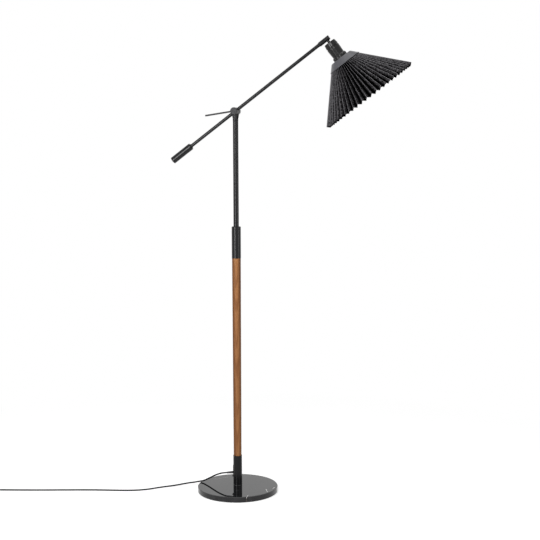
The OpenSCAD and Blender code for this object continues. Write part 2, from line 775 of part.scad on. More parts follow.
echo(coil_gap = coil_gap);

module cord_coil() {
    color([0.05, 0.05, 0.05]) tube(coil_path, cord_r, 6);
}

// Strap round all the turns, clear of the half turn where the coil climbs
tie_angle = 80;
module coil_tie() {
    strap_w = 8;
    strap_t = 0.7;
    first = coil_a0 - tie_angle;
    r_in = coil_r(first + 360 * turns) - cord_r - 0.8;
    r_out = coil_r(first) + cord_r + 0.3;
    h = coil_z + turn_step + cord_r + 0.3 - strap_t;
    color([0.08, 0.08, 0.08]) translate([coil_c[0], coil_c[1], 0]) rotate([0, 0, tie_angle])
        difference() {
            translate([r_in - strap_t, -strap_w / 2, 0])
                cube([r_out - r_in + 2 * strap_t, strap_w, h + 2 * strap_t]);
            translate([r_in, -strap_w, strap_t]) cube([r_out - r_in, 2 * strap_w, h]);
        }
}

module cord_tail() {
    color([0.05, 0.05, 0.05]) tube(concat([coil_end], spline(tail_route, 2), [plug_entry]), cord_r, 8);
}

// Flat two-pin plug, lying on its side face
plug_len = 34;
plug_w = 25;
plug_t = 13;
pin_gap = 19;
plug_entry = [-885, -102, plug_t / 2];
plug_turn = 86;
module at_plug() {
    translate(plug_entry) rotate([0, 0, plug_turn]) children();
}

module plug_body() {
    color(black) at_plug() hull() {
        along_x() cylinder(d = cord_d + 2, h = 1, $fn = 24);
        for (side = [-1, 1]) translate([plug_len * 0.3, side * plug_w * 0.32, 0])
            along_x() cylinder(d = plug_t - 3, h = 2, $fn = 24);
        for (side = [-1, 1]) translate([plug_len * 0.55, side * (plug_w - plug_t) / 2, 0])
            along_x() cylinder(d = plug_t, h = plug_len * 0.45, $fn = 32);
    }
}

module plug_pins() {
    color(steel) at_plug() for (side = [-1, 1])
        translate([plug_len + fit, side * pin_gap / 2, 0]) along_x() bar(4, 19, 0.8);
}

base_disc();
felt_pad();
base_washer();
base_nut();
tie_tube();
lower_collar();
collar_plug();
outlet_plate();
outlet_screw();
strain_relief();
wood_pole();
upper_sleeve();
sleeve_bush();
upper_pole();
pole_yoke();
hub_nut();
pole_lead();
clamp_knob();
clamp_lever();
arm_block();
fibre_washers();
lower_arm();
counterweight();
weight_ring();
upper_arm();
swivel_pin();
arm_lead();
swivel_sleeve();
retaining_screw();
neck_nipple();
head_lead();
holder_cap();
holder_body();
upper_ring();
lower_ring();
socket_core();
terminal_screws();
socket_shell();
centre_contact();
shade_collar();
pleated_shade();
cord_lead();
cord_coil();
coil_tie();
cord_tail();
plug_body();
plug_pins();
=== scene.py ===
import math

import bpy
from mathutils import Matrix, Vector


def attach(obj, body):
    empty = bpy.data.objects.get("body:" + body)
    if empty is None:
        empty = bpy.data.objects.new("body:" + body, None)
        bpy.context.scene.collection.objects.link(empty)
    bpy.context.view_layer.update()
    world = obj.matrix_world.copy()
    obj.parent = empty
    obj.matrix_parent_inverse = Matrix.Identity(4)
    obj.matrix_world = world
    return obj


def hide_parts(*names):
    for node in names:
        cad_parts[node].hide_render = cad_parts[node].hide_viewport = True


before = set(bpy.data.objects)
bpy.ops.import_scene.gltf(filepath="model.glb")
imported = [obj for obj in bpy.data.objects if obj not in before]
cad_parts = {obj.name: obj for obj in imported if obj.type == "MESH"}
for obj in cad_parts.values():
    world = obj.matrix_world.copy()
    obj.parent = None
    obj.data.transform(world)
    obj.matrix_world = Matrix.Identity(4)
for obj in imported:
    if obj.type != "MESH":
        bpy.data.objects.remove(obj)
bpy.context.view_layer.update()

# ---- Camera ----
# It stands 3.6 m in front of the lamp and 1 m to its right, at chest height,
# and looks slightly down.

camera_place = Vector((1.0185, -3.6297, 1.1593))
camera_roll = math.radians(-0.176)
camera = bpy.data.objects.new("camera", bpy.data.cameras.new("camera"))
bpy.context.scene.collection.objects.link(camera)
bpy.context.scene.camera = camera
camera.data.sensor_width = 36
camera.data.lens = 76.99
ahead = Vector((-0.2405, 0.9645, -0.1093)).normalized()
sideways = ahead.cross(Vector((0, 0, 1))).normalized()
upright = sideways.cross(ahead)
camera_x = math.cos(camera_roll) * sideways + math.sin(camera_roll) * upright
camera_y = math.cos(camera_roll) * upright - math.sin(camera_roll) * sideways
camera_turn = Matrix((camera_x, camera_y, -ahead)).transposed().to_4x4()
camera.matrix_world = Matrix.Translation(camera_place) @ camera_turn

# ---- Mains lead ----
# A round two-core lead in a black sheath, 5 mm thick. It leaves the collar
# through the strain relief, drops over the foot's rim, runs along the floor to
# the left and ends in a coil of two layers and a flat plug.

cord_d = 0.005
# The sheath is drawn a hair thin, to stay clear of the pieces it passes through.
sheath_gap = 0.00005
outlet = Vector((0, 0, 0.066))
outlet_droop = math.radians(8)
outlet_way = Vector((-math.cos(outlet_droop), 0, -math.sin(outlet_droop)))
relief_start = 0.0134
relief_end = 0.0372
full_turn = 2 * math.pi
coil_middle = Vector((-0.846, -0.161, 0.0035))
coil_start = math.radians(284)
coil_turns = 3
coil_exit_turns = 2.75
coil_step = 0.0056
coil_outer = 0.0385
coil_inner = coil_outer - coil_turns * coil_step
degrees_a_point = 15


def coil_point(turned):
    """A point of the coil: inward on the lower layer, then outward on the upper."""
    if turned <= full_turn * (coil_turns + 0.25):
        radius = coil_outer - coil_step * turned / full_turn
    else:
        radius = coil_inner + coil_step * (turned - full_turn * (coil_turns + 0.5)) / full_turn
    climb = min(max((turned - full_turn * coil_turns) / math.pi, 0), 1)
    rise = (1 - math.cos(math.pi * climb)) / 2
    angle = coil_start - turned
    return coil_middle + Vector((
        radius * math.cos(angle), radius * math.sin(angle), coil_step * rise))


def coil_way(turned):
    """The direction in which the lead runs at that point of the coil."""
    angle = coil_start - turned
    return Vector((math.sin(angle), -math.cos(angle), 0))


lead_points = [
    (-0.056, 0.003, 0.057), (-0.070, 0.005, 0.052), (-0.084, 0.007, 0.0455),
    (-0.098, 0.0075, 0.0376), (-0.112, 0.0075, 0.0302), (-0.124, 0.007, 0.0248),
    (-0.134, 0.007, 0.0224), (-0.146, 0.008, 0.0194), (-0.158, 0.010, 0.0162),
    (-0.172, 0.012, 0.013), (-0.188, 0.011, 0.0096), (-0.206, 0.006, 0.0064),
    (-0.226, -0.004, 0.004), (-0.248, -0.017, 0.0029), (-0.270, -0.034, 0.0026),
    (-0.292, -0.055, 0.0026), (-0.316, -0.071, 0.0026), (-0.344, -0.083, 0.0026),
    (-0.380, -0.092, 0.0026), (-0.430, -0.101, 0.0026), (-0.490, -0.113, 0.0026),
    (-0.560, -0.130, 0.0026), (-0.630, -0.148, 0.0026), (-0.700, -0.165, 0.0028),
    (-0.760, -0.1793, 0.0032), (-0.806, -0.1908, 0.0035)]
tail_points = [
    (-0.8845, -0.154, 0.0086), (-0.886, -0.142, 0.0077), (-0.8865, -0.128, 0.007),
    (-0.886, -0.114, 0.0066), (-0.885, -0.102, 0.0065)]
coil_sweep = full_turn * (coil_turns + coil_exit_turns) + math.pi
coil_count = round(math.degrees(coil_sweep) / degrees_a_point)
route = [outlet + along * outlet_way
         for along in (relief_start, relief_end, relief_end + cord_d)]
route += [Vector(p) for p in lead_points]
route += [coil_point(0) - cord_d * coil_way(0)]
route += [coil_point(coil_sweep * i / coil_count) for i in range(coil_count + 1)]
route += [coil_point(coil_sweep) + cord_d * coil_way(coil_sweep)]
route += [Vector(p) for p in tail_points]

lead_curve = bpy.data.curves.new("mains_lead", "CURVE")
lead_curve.dimensions = "3D"
lead_curve.bevel_depth = 1.0
lead_curve.bevel_resolution = 4
lead_curve.resolution_u = 5
lead_curve.use_fill_caps = True
spline = lead_curve.splines.new("BEZIER")
spline.bezier_points.add(len(route) - 1)
for point, place in zip(spline.bezier_points, route):
    point.co = place
    point.handle_left_type = point.handle_right_type = "AUTO"
    point.radius = cord_d / 2 - sheath_gap
mains_lead = bpy.data.objects.new("mains_lead", lead_curve)
bpy.context.scene.collection.objects.link(mains_lead)
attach(mains_lead, "stand")
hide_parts("cord_lead", "cord_coil", "cord_tail")


def fill(tree, made, sockets):
    """Give each socket, by its name or place, a value of its own or a link."""
    for key, value in dict(sockets).items():
        if isinstance(value, bpy.types.NodeSocket):
            tree.links.new(value, made.inputs[key])
        else:
            made.inputs[key].default_value = value
    return made


def node(tree, kind, sockets=(), **settings):
    made = tree.nodes.new("ShaderNode" + kind)
    for key, value in settings.items():
        setattr(made, key, value)
    return fill(tree, made, sockets)


def blend(tree, share, first, second):
    """Mix two colours, each a socket or red, green and blue."""
    first_place, second_place, result_place = 6, 7, 2
    made = node(tree, "Mix", {0: share}, data_type="RGBA")
    for place, colour in ((first_place, first), (second_place, second)):
        fill(tree, made, {place: (*colour, 1) if isinstance(colour, tuple) else colour})
    return made.outputs[result_place]


def between(tree, value, low, high, to_low=0.0, to_high=1.0):
    """Stretch low to high into to_low to to_high, with no overshoot."""
    made = node(tree, "MapRange", {"Value": value, "From Min": low, "From Max": high,
                                   "To Min": to_low, "To Max": to_high})
    return made.outputs["Result"]


def object_place(tree):
    return node(tree, "TexCoord").outputs["Object"]


def noise(tree, place, scale, detail, roughness=0.5, distortion=0.0):
    made = node(tree, "TexNoise", {"Vector": place, "Scale": scale, "Detail": detail,
                                   "Roughness": roughness, "Distortion": distortion})
    return made.outputs["Fac"]


def bump(tree, height, strength, distance, **settings):
    made = node(tree, "Bump", {"Height": height, "Strength": strength,
                               "Distance": distance}, **settings)
    return made.outputs["Normal"]


def new_finish(name):
    made = bpy.data.materials.new(name)
    made.use_nodes = True
    tree = made.node_tree
    return made, tree, tree.nodes["Principled BSDF"]


def new_group(name, inputs, outputs):
    """A node group; an input's start value None marks a vector that is always linked."""
    tree = bpy.data.node_groups.new(name, "ShaderNodeTree")
    for label, kind, start in inputs:
        made = tree.interface.new_socket(label, in_out="INPUT", socket_type="NodeSocket" + kind)
        if start is not None:
            made.default_value = start
    for label, kind in outputs:
        tree.interface.new_socket(label, in_out="OUTPUT", socket_type="NodeSocket" + kind)
    return tree, tree.nodes.new("NodeGroupInput").outputs, tree.nodes.new("NodeGroupOutput")


def use_group(tree, group, **inputs):
    made = node(tree, "Group", node_tree=group)
    fill(tree, made, {label.replace("_", " "): value for label, value in inputs.items()})
    return made.outputs


def dress(finish, *names):
    """Give the CAD pieces of these names a finish."""
    for name in names:
        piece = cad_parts[name]
        for place in piece.material_slots:
            place.material = finish


# A fine skin of hollows and bumps, wider patches where hands and dust have
# changed the gloss, and rare specks.
skin_group, skin_in, skin_out = new_group(
    "skin_and_handling",
    [("Place", "Vector", None), ("Skin scale", "Float", 900.0),
     ("Skin depth", "Float", 0.1), ("Patch scale", "Float", 40.0)],
    [("Patches", "Float"), ("Specks", "Float"), ("Normal", "Vector")])
fine = noise(skin_group, skin_in["Place"], skin_in["Skin scale"], 3.0)
wide = noise(skin_group, skin_in["Place"], skin_in["Patch scale"], 5.0, 0.65)
speck = noise(skin_group, skin_in["Place"], 2600.0, 2.0)
fill(skin_group, skin_out, {
    "Patches": between(skin_group, wide, 0.32, 0.68),
    "Specks": between(skin_group, speck, 0.66, 0.78),
    "Normal": bump(skin_group, fine, skin_in["Skin depth"], 0.0004)})


def handled(name, dark, light, shine, skin_scale, skin_depth, patch_scale, gloss=0.5):
    """A finish whose colour and gloss drift in patches over a fine skin."""
    finish, tree, bsdf = new_finish(name)
    skin = use_group(tree, skin_group, Place=object_place(tree), Skin_scale=skin_scale,
                     Skin_depth=skin_depth, Patch_scale=patch_scale)
    fill(tree, bsdf, {"Base Color": blend(tree, skin["Patches"], dark, light),
                      "Roughness": between(tree, skin["Patches"], 0, 1, *shine),
                      "Specular IOR Level": gloss, "Normal": skin["Normal"]})
    return finish


sheath = handled("black_sheath", dark=(0.003, 0.003, 0.004), light=(0.006, 0.006, 0.007),
                 shine=(0.42, 0.58), skin_scale=1500.0, skin_depth=0.25,
                 patch_scale=60.0, gloss=0.05)
lead_curve.materials.append(sheath)
dress(sheath, "pole_lead", "arm_lead", "head_lead")

# ---- Room and light ----
# A white floor that runs out into a white surround, which polished surfaces
# mirror too. A tall softbox stands on each side, one is in front and one above.

floor_size = 30
floor_fade = (0.7, 1.6)
floor_glow = 0.6
surround_glow = 0.15


def maths(tree, operation, *values):
    return node(tree, "Math", enumerate(values), operation=operation).outputs["Value"]


def vector_maths(tree, operation, *values):
    result = "Value" if operation == "LENGTH" else "Vector"
    return node(tree, "VectorMath", enumerate(values), operation=operation).outputs[result]


def seen_rays(tree):
    """One for rays from the camera, a mirror or a clear piece, otherwise zero."""
    path = node(tree, "LightPath").outputs
    seen = maths(tree, "MAXIMUM", path["Is Camera Ray"], path["Is Glossy Ray"])
    return maths(tree, "MAXIMUM", seen, path["Is Transmission Ray"])


bpy.ops.object.select_all(action="DESELECT")
bpy.ops.mesh.primitive_plane_add(size=floor_size)
floor = bpy.context.object
floor.name = "floor"
floor_finish, tree, bsdf = new_finish("white_floor")
fill(tree, bsdf, {"Base Color": (0.86, 0.86, 0.86, 1), "Roughness": 0.85,
                  "Specular IOR Level": 0.1})
lift = node(tree, "Emission", {"Color": (1, 1, 1, 1), "Strength": floor_glow})
near = node(tree, "AddShader", {0: bsdf.outputs[0], 1: lift.outputs[0]})
far = node(tree, "Emission", {"Color": (1, 1, 1, 1), "Strength": 1.0})
away = vector_maths(tree, "LENGTH", object_place(tree))
fade = node(tree, "MixShader", {0: between(tree, away, *floor_fade),
                                1: near.outputs[0], 2: far.outputs[0]})
shown = node(tree, "MixShader", {0: seen_rays(tree), 1: bsdf.outputs[0], 2: fade.outputs[0]})
fill(tree, tree.nodes["Material Output"], {"Surface": shown.outputs[0]})
floor.data.materials.append(floor_finish)

world = bpy.data.worlds.new("surround")
bpy.context.scene.world = world
world.use_nodes = True
tree = world.node_tree
white = between(tree, seen_rays(tree), 0, 1, surround_glow, 1.0)
fill(tree, tree.nodes["Background"], {"Color": (1, 1, 1, 1), "Strength": white})
bpy.context.scene.view_settings.view_transform = "Standard"


def softbox(name, place, aim, width, height, power):
    lamp = bpy.data.lights.new(name, "AREA")
    lamp.shape = "RECTANGLE"
    lamp.size = width
    lamp.size_y = height
    lamp.energy = power
    held = bpy.data.objects.new(name, lamp)
    bpy.context.scene.collection.objects.link(held)
    held.location = place
    held.rotation_euler = (Vector(aim) - Vector(place)).to_track_quat("-Z", "Y").to_euler()


softbox("softbox_left", (-1.0, -2.9, 1.0), (0, 0, 0.85), width=0.6, height=2.0, power=54)
softbox("softbox_right", (2.7, -0.9, 1.1), (0.1, 0, 0.85), width=0.4, height=2.0, power=14)
softbox("softbox_front", (0.6, -3.4, 2.1), (0, 0, 0.9), width=1.2, height=1.0, power=66)
softbox("softbox_top", (-0.6, 0.4, 3.2), (0, 0, 0.8), width=1.8, height=1.8, power=16)

# ---- Foot ----
# A disc of black marble, sawn, ground and polished, with a few fine white
# veins that run on down its edge. Felt is glued under it.

foot_r = 0.1335
foot_top = 0.020
arris_w = 0.002
vein_bright_depth = 0.0015
vein_dim_depth = 0.006
vein_wander = 0.0011
vein_group, vein_in, vein_out = new_group(
    "stone_vein",
    [("Place", "Vector", None), ("Middle", "Vector", None), ("Turn", "Float", 0.0),
     ("Half length", "Float", 0.02), ("Width", "Float", 0.0006)],
    [("Mask", "Float")])
shifted = vector_maths(vein_group, "SUBTRACT", vein_in["Place"], vein_in["Middle"])
turned = node(vein_group, "VectorRotate", {"Vector": shifted, "Angle": vein_in["Turn"]},
              rotation_type="Z_AXIS")
ways = node(vein_group, "SeparateXYZ", {"Vector": turned.outputs[0]}).outputs
wander = noise(vein_group, vein_in["Place"], 90.0, 4.0, 0.6)
wander = between(vein_group, wander, 0.3, 0.7, -vein_wander, vein_wander)
off = maths(vein_group, "ABSOLUTE", maths(vein_group, "ADD", wander, ways["X"]))
off = maths(vein_group, "DIVIDE", off, vein_in["Width"])
along = maths(vein_group, "ABSOLUTE", ways["Y"])
along = maths(vein_group, "DIVIDE", along, vein_in["Half length"])
mask = maths(vein_group, "MULTIPLY", between(vein_group, off, 0.35, 1.0, 1.0, 0.0),
             between(vein_group, along, 0.75, 1.0, 1.0, 0.0))
fill(vein_group, vein_out, {"Mask": mask})

marble, tree, bsdf = new_finish("black_marble")
place = object_place(tree)
skin = use_group(tree, skin_group, Place=place, Skin_scale=400.0, Skin_depth=0.01,
                 Patch_scale=14.0)
cloud = node(tree, "TexNoise", {"Vector": place, "Scale": 22.0, "Detail": 8.0,
                                "Roughness": 0.7, "Distortion": 1.2}).outputs
stone = blend(tree, between(tree, cloud["Fac"], 0.4, 0.72), (0.0045, 0.0045, 0.005),
              (0.019, 0.019, 0.021))

# Hairlines where the stone once cracked, the few broad veins, and one short
# painted highlight on the rim, drawn like a vein.
strayed = vector_maths(tree, "MULTIPLY", cloud["Color"], (0.05, 0.05, 0.05))
strayed = vector_maths(tree, "ADD", place, strayed)
cracks = node(tree, "TexVoronoi", {"Vector": strayed, "Scale": 9.0},
              feature="DISTANCE_TO_EDGE").outputs["Distance"]
rare = between(tree, noise(tree, place, 11.0, 2.0), 0.66, 0.74, 0.0, 0.25)
veins_and_highlight = maths(tree, "MULTIPLY", between(tree, cracks, 0.004, 0.012, 1.0, 0.0), rare)
for middle, turn, half_length, width in (
        ((0.0625, -0.1165, 0), 0.0, 0.020, 0.0010),
        ((0.1087, -0.035, 0), -0.4, 0.018, 0.0016),
        # The third is no vein: a painted highlight along the rim's edge.
        ((0.1245, -0.002, 0), 0.3, 0.008, 0.0012),
        ((-0.075, 0.068, 0), 0.9, 0.03, 0.0004)):
    broad = use_group(tree, vein_group, Place=place, Middle=middle, Turn=turn,
                      Half_length=half_length, Width=width)
    veins_and_highlight = maths(tree, "MAXIMUM", veins_and_highlight, broad["Mask"])
height = node(tree, "SeparateXYZ", {"Vector": place}).outputs["Z"]
down_edge = between(tree, height, foot_top - vein_dim_depth, foot_top - vein_bright_depth,
                    1.0, 0.0)
vein_and_highlight_tone = blend(tree, down_edge, (0.86, 0.85, 0.84), (0.075, 0.058, 0.05))
stone = blend(tree, veins_and_highlight, stone, vein_and_highlight_tone)

# A painted highlight: a paler line on the rounded edge between top and side.
level_place = vector_maths(tree, "MULTIPLY", place, (1, 1, 0))
radius = vector_maths(tree, "LENGTH", level_place)
arris_highlight = maths(tree, "MULTIPLY",
              between(tree, radius, foot_r - arris_w, foot_r - arris_w / 2),
              between(tree, height, foot_top - arris_w, foot_top - arris_w / 2))
stone = blend(tree, arris_highlight, stone, (0.045, 0.045, 0.046))
fill(tree, bsdf, {"Base Color": stone, "IOR": 1.38, "Normal": skin["Normal"],
                  "Roughness": between(tree, skin["Patches"], 0, 1, 0.02, 0.06)})
dress(marble, "base_disc")

felt, tree, bsdf = new_finish("pressed_felt")
fibres = noise(tree, object_place(tree), 700.0, 6.0, 0.8, 2.5)
felt_tone = blend(tree, between(tree, fibres, 0.35, 0.7), (0.018, 0.018, 0.018),
                  (0.06, 0.06, 0.06))
fill(tree, bsdf, {"Base Color": felt_tone, "Roughness": 0.95, "Sheen Weight": 0.4,
                  "Normal": bump(tree, fibres, 0.7, 0.0008)})
dress(felt, "felt_pad")

# ---- Black metal ----
# The collar, sleeve, tube, rods, weight, lever and small fittings are steel
# turned to size, sprayed with satin black lacquer and stoved. A paler band round
# the collar just above the stone is a painted highlight.


def satin_lacquer(name, gloss):
    finish, tree, bsdf = new_finish(name)
    skin = use_group(tree, skin_group, Place=object_place(tree), Skin_scale=1100.0,
                     Skin_depth=0.01, Patch_scale=28.0)
    paint = blend(tree, skin["Patches"], (0.0045, 0.0045, 0.005), (0.0065, 0.0065, 0.0071))
    paint = blend(tree, maths(tree, "MULTIPLY", skin["Specks"], 0.04), paint,
                  (0.05, 0.05, 0.052))
    fill(tree, bsdf, {"Base Color": paint, "Normal": skin["Normal"],
                      "Roughness": between(tree, skin["Patches"], 0, 1, 0.18, 0.21),
                      "Specular IOR Level": gloss})
    return finish, tree, bsdf, paint


lacquer = satin_lacquer("satin_black_lacquer", gloss=0.24)[0]
dress(lacquer, "outlet_plate", "upper_sleeve", "sleeve_bush", "upper_pole",
      "lower_arm", "counterweight", "weight_ring", "upper_arm", "swivel_sleeve",
      "neck_nipple", "clamp_lever")

highlight_height = 0.0232
highlight_core = 0.0004
highlight_edge = 0.0010
highlighted_lacquer, tree, bsdf, paint = satin_lacquer("highlighted_lacquer", gloss=0.17)
place = object_place(tree)
height = node(tree, "SeparateXYZ", {"Vector": place}).outputs["Z"]
# A painted highlight: a paler band round the collar just above the stone, broken up by noise.
from_band = maths(tree, "ABSOLUTE", maths(tree, "SUBTRACT", height, highlight_height))
highlight_breakup = between(tree, noise(tree, place, 260.0, 3.0), 0.40, 0.60, 0.25, 1.0)
band = maths(tree, "MULTIPLY", between(tree, from_band, highlight_core, highlight_edge, 1.0, 0.0), highlight_breakup)
fill(tree, bsdf, {"Base Color": blend(tree, band, paint, (0.09, 0.09, 0.093))})
dress(highlighted_lacquer, "lower_collar")

# ---- Hub and clamp ----
# Fork, turning block, knob and nut are turned and milled steel under a thin
# gunmetal lacquer that lets the turning marks show; the nut gets a paler copy
# of it, painted light for its lit side.

turned_group, turned_in, turned_out = new_group(
    "turning_marks",
    [("Place", "Vector", None), ("Marks per metre", "Float", 2600.0), ("Depth", "Float", 0.2)],
    [("Marks", "Float"), ("Normal", "Vector")])
ways = node(turned_group, "SeparateXYZ", {"Vector": turned_in["Place"]}).outputs
across_axis = node(turned_group, "CombineXYZ", {"X": ways["X"], "Y": ways["Y"]}).outputs[0]
from_axis = vector_maths(turned_group, "LENGTH", across_axis)
feed = maths(turned_group, "ADD", from_axis, ways["Z"])
feed = maths(turned_group, "MULTIPLY", feed, turned_in["Marks per metre"])
marks = node(turned_group, "TexNoise", {"W": feed, "Scale": 1.0, "Detail": 2.0},
             noise_dimensions="1D").outputs["Fac"]
fill(turned_group, turned_out, {
    "Marks": marks, "Normal": bump(turned_group, marks, turned_in["Depth"], 0.0003)})


def mapped(tree, place, **sockets):
    return node(tree, "Mapping", {"Vector": place, **sockets}).outputs["Vector"]


def turned_metal(name, axis_frame, dark, light, shine, metallic, marks, depth, gloss=0.5):
    """Metal turned about the Z axis of axis_frame, its colour drifting in patches."""
    finish, tree, bsdf = new_finish(name)
    back = axis_frame.inverted()
    place = mapped(tree, object_place(tree), Location=back.to_translation(),
                   Rotation=back.to_euler())
    turned = use_group(tree, turned_group, Place=place, Marks_per_metre=marks, Depth=depth)
    patches = between(tree, noise(tree, object_place(tree), 70.0, 5.0, 0.65), 0.35, 0.65)
    share = maths(tree, "MULTIPLY", turned["Marks"], patches)
    fill(tree, bsdf, {"Base Color": blend(tree, share, dark, light), "Metallic": metallic,
                      "Roughness": between(tree, patches, 0, 1, *shine),
                      "Specular IOR Level": gloss, "Normal": turned["Normal"]})
    return finish


hub_z = 1.262
clamp_axis = Matrix.Translation((0, 0, hub_z)) @ Matrix.Rotation(math.radians(-90), 4, "X")
gunmetal = turned_metal("gunmetal_lacquer", clamp_axis, dark=(0.016, 0.016, 0.017),
                        light=(0.040, 0.040, 0.042), shine=(0.3, 0.38), metallic=0.25,
                        marks=2600.0, depth=0.05, gloss=0.12)
dress(gunmetal, "clamp_knob", "pole_yoke", "arm_block")
# A paler copy of the gunmetal: painted light on the nut's lit side.
lit_gunmetal = turned_metal("lit_gunmetal", clamp_axis, dark=(0.26, 0.26, 0.266),
                             light=(0.48, 0.48, 0.486), shine=(0.26, 0.34), metallic=0.5,
                             marks=2600.0, depth=0.05)
dress(lit_gunmetal, "hub_nut")

fibre, tree, bsdf = new_finish("vulcanised_fibre")
grain = noise(tree, object_place(tree), 900.0, 5.0)
fill(tree, bsdf, {"Base Color": blend(tree, grain, (0.14, 0.04, 0.02), (0.34, 0.13, 0.07)),
                  "Roughness": between(tree, grain, 0.3, 0.7, 0.5, 0.8)})
dress(fibre, "fibre_washers")

# ---- Plain steel inside ----
# Washer, nut, tie tube, plug and swivel pin are zinc-plated steel; the two
# small screws are blackened.

upright_axis = Matrix.Identity(4)
zinc = turned_metal("zinc_plate", upright_axis, dark=(0.42, 0.42, 0.43),
                    light=(0.62, 0.62, 0.62), shine=(0.25, 0.42), metallic=1.0,
                    marks=1800.0, depth=0.2)
dress(zinc, "base_washer", "base_nut", "tie_tube", "collar_plug", "swivel_pin")
screw_black = turned_metal("blackened_steel", upright_axis, dark=(0.02, 0.02, 0.021),
                           light=(0.07, 0.07, 0.072), shine=(0.3, 0.5), metallic=0.6,
                           marks=3000.0, depth=0.2)
dress(screw_black, "outlet_screw", "retaining_screw")

# ---- Wooden pole ----
# One turned length of walnut-coloured hardwood, slightly thicker at the top and
# with painted shade darkening it toward the foot, with the grain running up it
# under a satin varnish.

walnut, tree, bsdf = new_finish("varnished_walnut")
place = object_place(tree)
from_heart = (0.0145, -0.058, 0)

# Broad rings round the tree's heart, which lay behind the pole, bent by a slow drift.
up_grain = mapped(tree, place, Scale=(1, 1, 0.035))
drift = node(tree, "TexNoise", {"Vector": up_grain, "Scale": 60.0, "Detail": 4.0,
                                "Roughness": 0.6}).outputs
bent = vector_maths(tree, "MULTIPLY", drift["Color"], (0.005, 0.005, 0.0))
bent = vector_maths(tree, "ADD", up_grain, bent)


def growth_rings(place, scale, distortion, detail_scale):
    made = node(tree, "TexWave", {"Vector": place, "Scale": scale, "Distortion": distortion,
                                  "Detail": 3.0, "Detail Scale": detail_scale},
                wave_type="RINGS", rings_direction="Z")
    return made.outputs["Fac"]


rings = growth_rings(mapped(tree, bent, Location=from_heart), 19.0, 1.2, 2.0)
wood = blend(tree, rings, (0.085, 0.027, 0.0075), (0.385, 0.173, 0.066))

# Fine streaks up the grain, paler drifts, and dark lines of latewood in long arches.
streaks = noise(tree, mapped(tree, place, Scale=(1, 1, 0.012)), 420.0, 5.0, 0.7)
leaning = mapped(tree, place, Location=from_heart, Rotation=(0.25, 0, 0), Scale=(1, 1, 0.12))
latewood = growth_rings(leaning, 95.0, 4.5, 0.7)
wood = blend(tree, between(tree, streaks, 0.42, 0.66, 0.0, 0.6), wood, (0.190, 0.072, 0.0235))
wood = blend(tree, between(tree, drift["Fac"], 0.42, 0.66, 0.0, 0.6), wood,
             (0.45, 0.222, 0.090))
wood = blend(tree, between(tree, latewood, 0.45, 1.0, 0.0, 0.55), wood, (0.135, 0.045, 0.015))

# Painted shade darkening the pole toward the foot, and short open pores.
up_pole = node(tree, "SeparateXYZ", {"Vector": place}).outputs["Z"]
wood = blend(tree, between(tree, up_pole, 0.25, 0.85, 0.5, 0.0), wood, (0.150, 0.058, 0.022))
pores = noise(tree, mapped(tree, place, Scale=(1, 1, 0.05)), 2200.0, 2.0)
pores = between(tree, pores, 0.62, 0.72)
wood = blend(tree, maths(tree, "MULTIPLY", pores, 0.7), wood, (0.055, 0.022, 0.010))
fill(tree, bsdf, {"Base Color": wood, "Specular IOR Level": 0.08,
                  "Roughness": between(tree, streaks, 0.3, 0.7, 0.34, 0.46),
                  "Normal": bump(tree, pores, 0.25, 0.0003, invert=True),
                  "Coat Weight": 0.02, "Coat Roughness": 0.2})
dress(walnut, "wood_pole")

# ---- Strain relief, strap and plug ----
# Moulded black rubber and plastic: the sleeve round the lead where it leaves
# the collar, the strap round the coil and the flat plug with its two pins.

moulded = handled("moulded_black", dark=(0.011, 0.011, 0.012), light=(0.02, 0.02, 0.021),
                  shine=(0.5, 0.65), skin_scale=2200.0, skin_depth=0.45,
                  patch_scale=120.0)
dress(moulded, "strain_relief", "coil_tie", "plug_body")
pin_finish = turned_metal("nickelled_brass", upright_axis, dark=(0.5, 0.46, 0.36),
                          light=(0.7, 0.66, 0.55), shine=(0.2, 0.35), metallic=1.0,
                          marks=2500.0, depth=0.1)
dress(pin_finish, "plug_pins")

# ---- Lampholder ----
# Cap, body and the two threaded rings are pressed and turned metal in satin
# black; inside them are a glazed porcelain core and a brass screw shell.

arm_tilt = math.radians(36.6)
head_swing = math.radians(8)
neck = 0.3734
arm_frame = Matrix.Translation((0, 0, hub_z)) @ Matrix.Rotation(-arm_tilt, 4, "Y")
head_turn = Matrix.Rotation(math.pi + head_swing, 4, "X")
head_frame = arm_frame @ Matrix.Translation((neck, 0, 0)) @ head_turn
holder_black = turned_metal("holder_black", head_frame, dark=(0.007, 0.0068, 0.0068),
                            light=(0.011, 0.0106, 0.0104), shine=(0.22, 0.26), metallic=0.0,
                            marks=1500.0, depth=0.02, gloss=0.25)
dress(holder_black, "holder_cap", "holder_body", "upper_ring", "lower_ring")
porcelain = handled("glazed_porcelain", dark=(0.74, 0.71, 0.63), light=(0.84, 0.82, 0.76),
                    shine=(0.12, 0.25), skin_scale=500.0, skin_depth=0.05,
                    patch_scale=90.0)
dress(porcelain, "socket_core")
brass = turned_metal("turned_brass", head_frame, dark=(0.52, 0.36, 0.14),
                     light=(0.8, 0.6, 0.27), shine=(0.2, 0.38), metallic=1.0,
                     marks=2200.0, depth=0.2)
dress(brass, "socket_shell", "terminal_screws", "centre_contact")

# ---- Shade collar ----
# A shallow cone spun from sheet steel, its edge rolled, in a lighter satin grey
# lacquer. The pleats are glued inside it.

collar_grey = turned_metal("collar_grey", head_frame, dark=(0.056, 0.056, 0.064),
                           light=(0.070, 0.070, 0.080), shine=(0.30, 0.36), metallic=0.0,
                           marks=1200.0, depth=0.02, gloss=0.4)
dress(collar_grey, "shade_collar")

# ---- Pleated shade ----
# One strip of stiffened charcoal cloth with thick uneven yarns, folded into
# fifty-eight pleats whose faces keep their width from the collar to the cut edge.

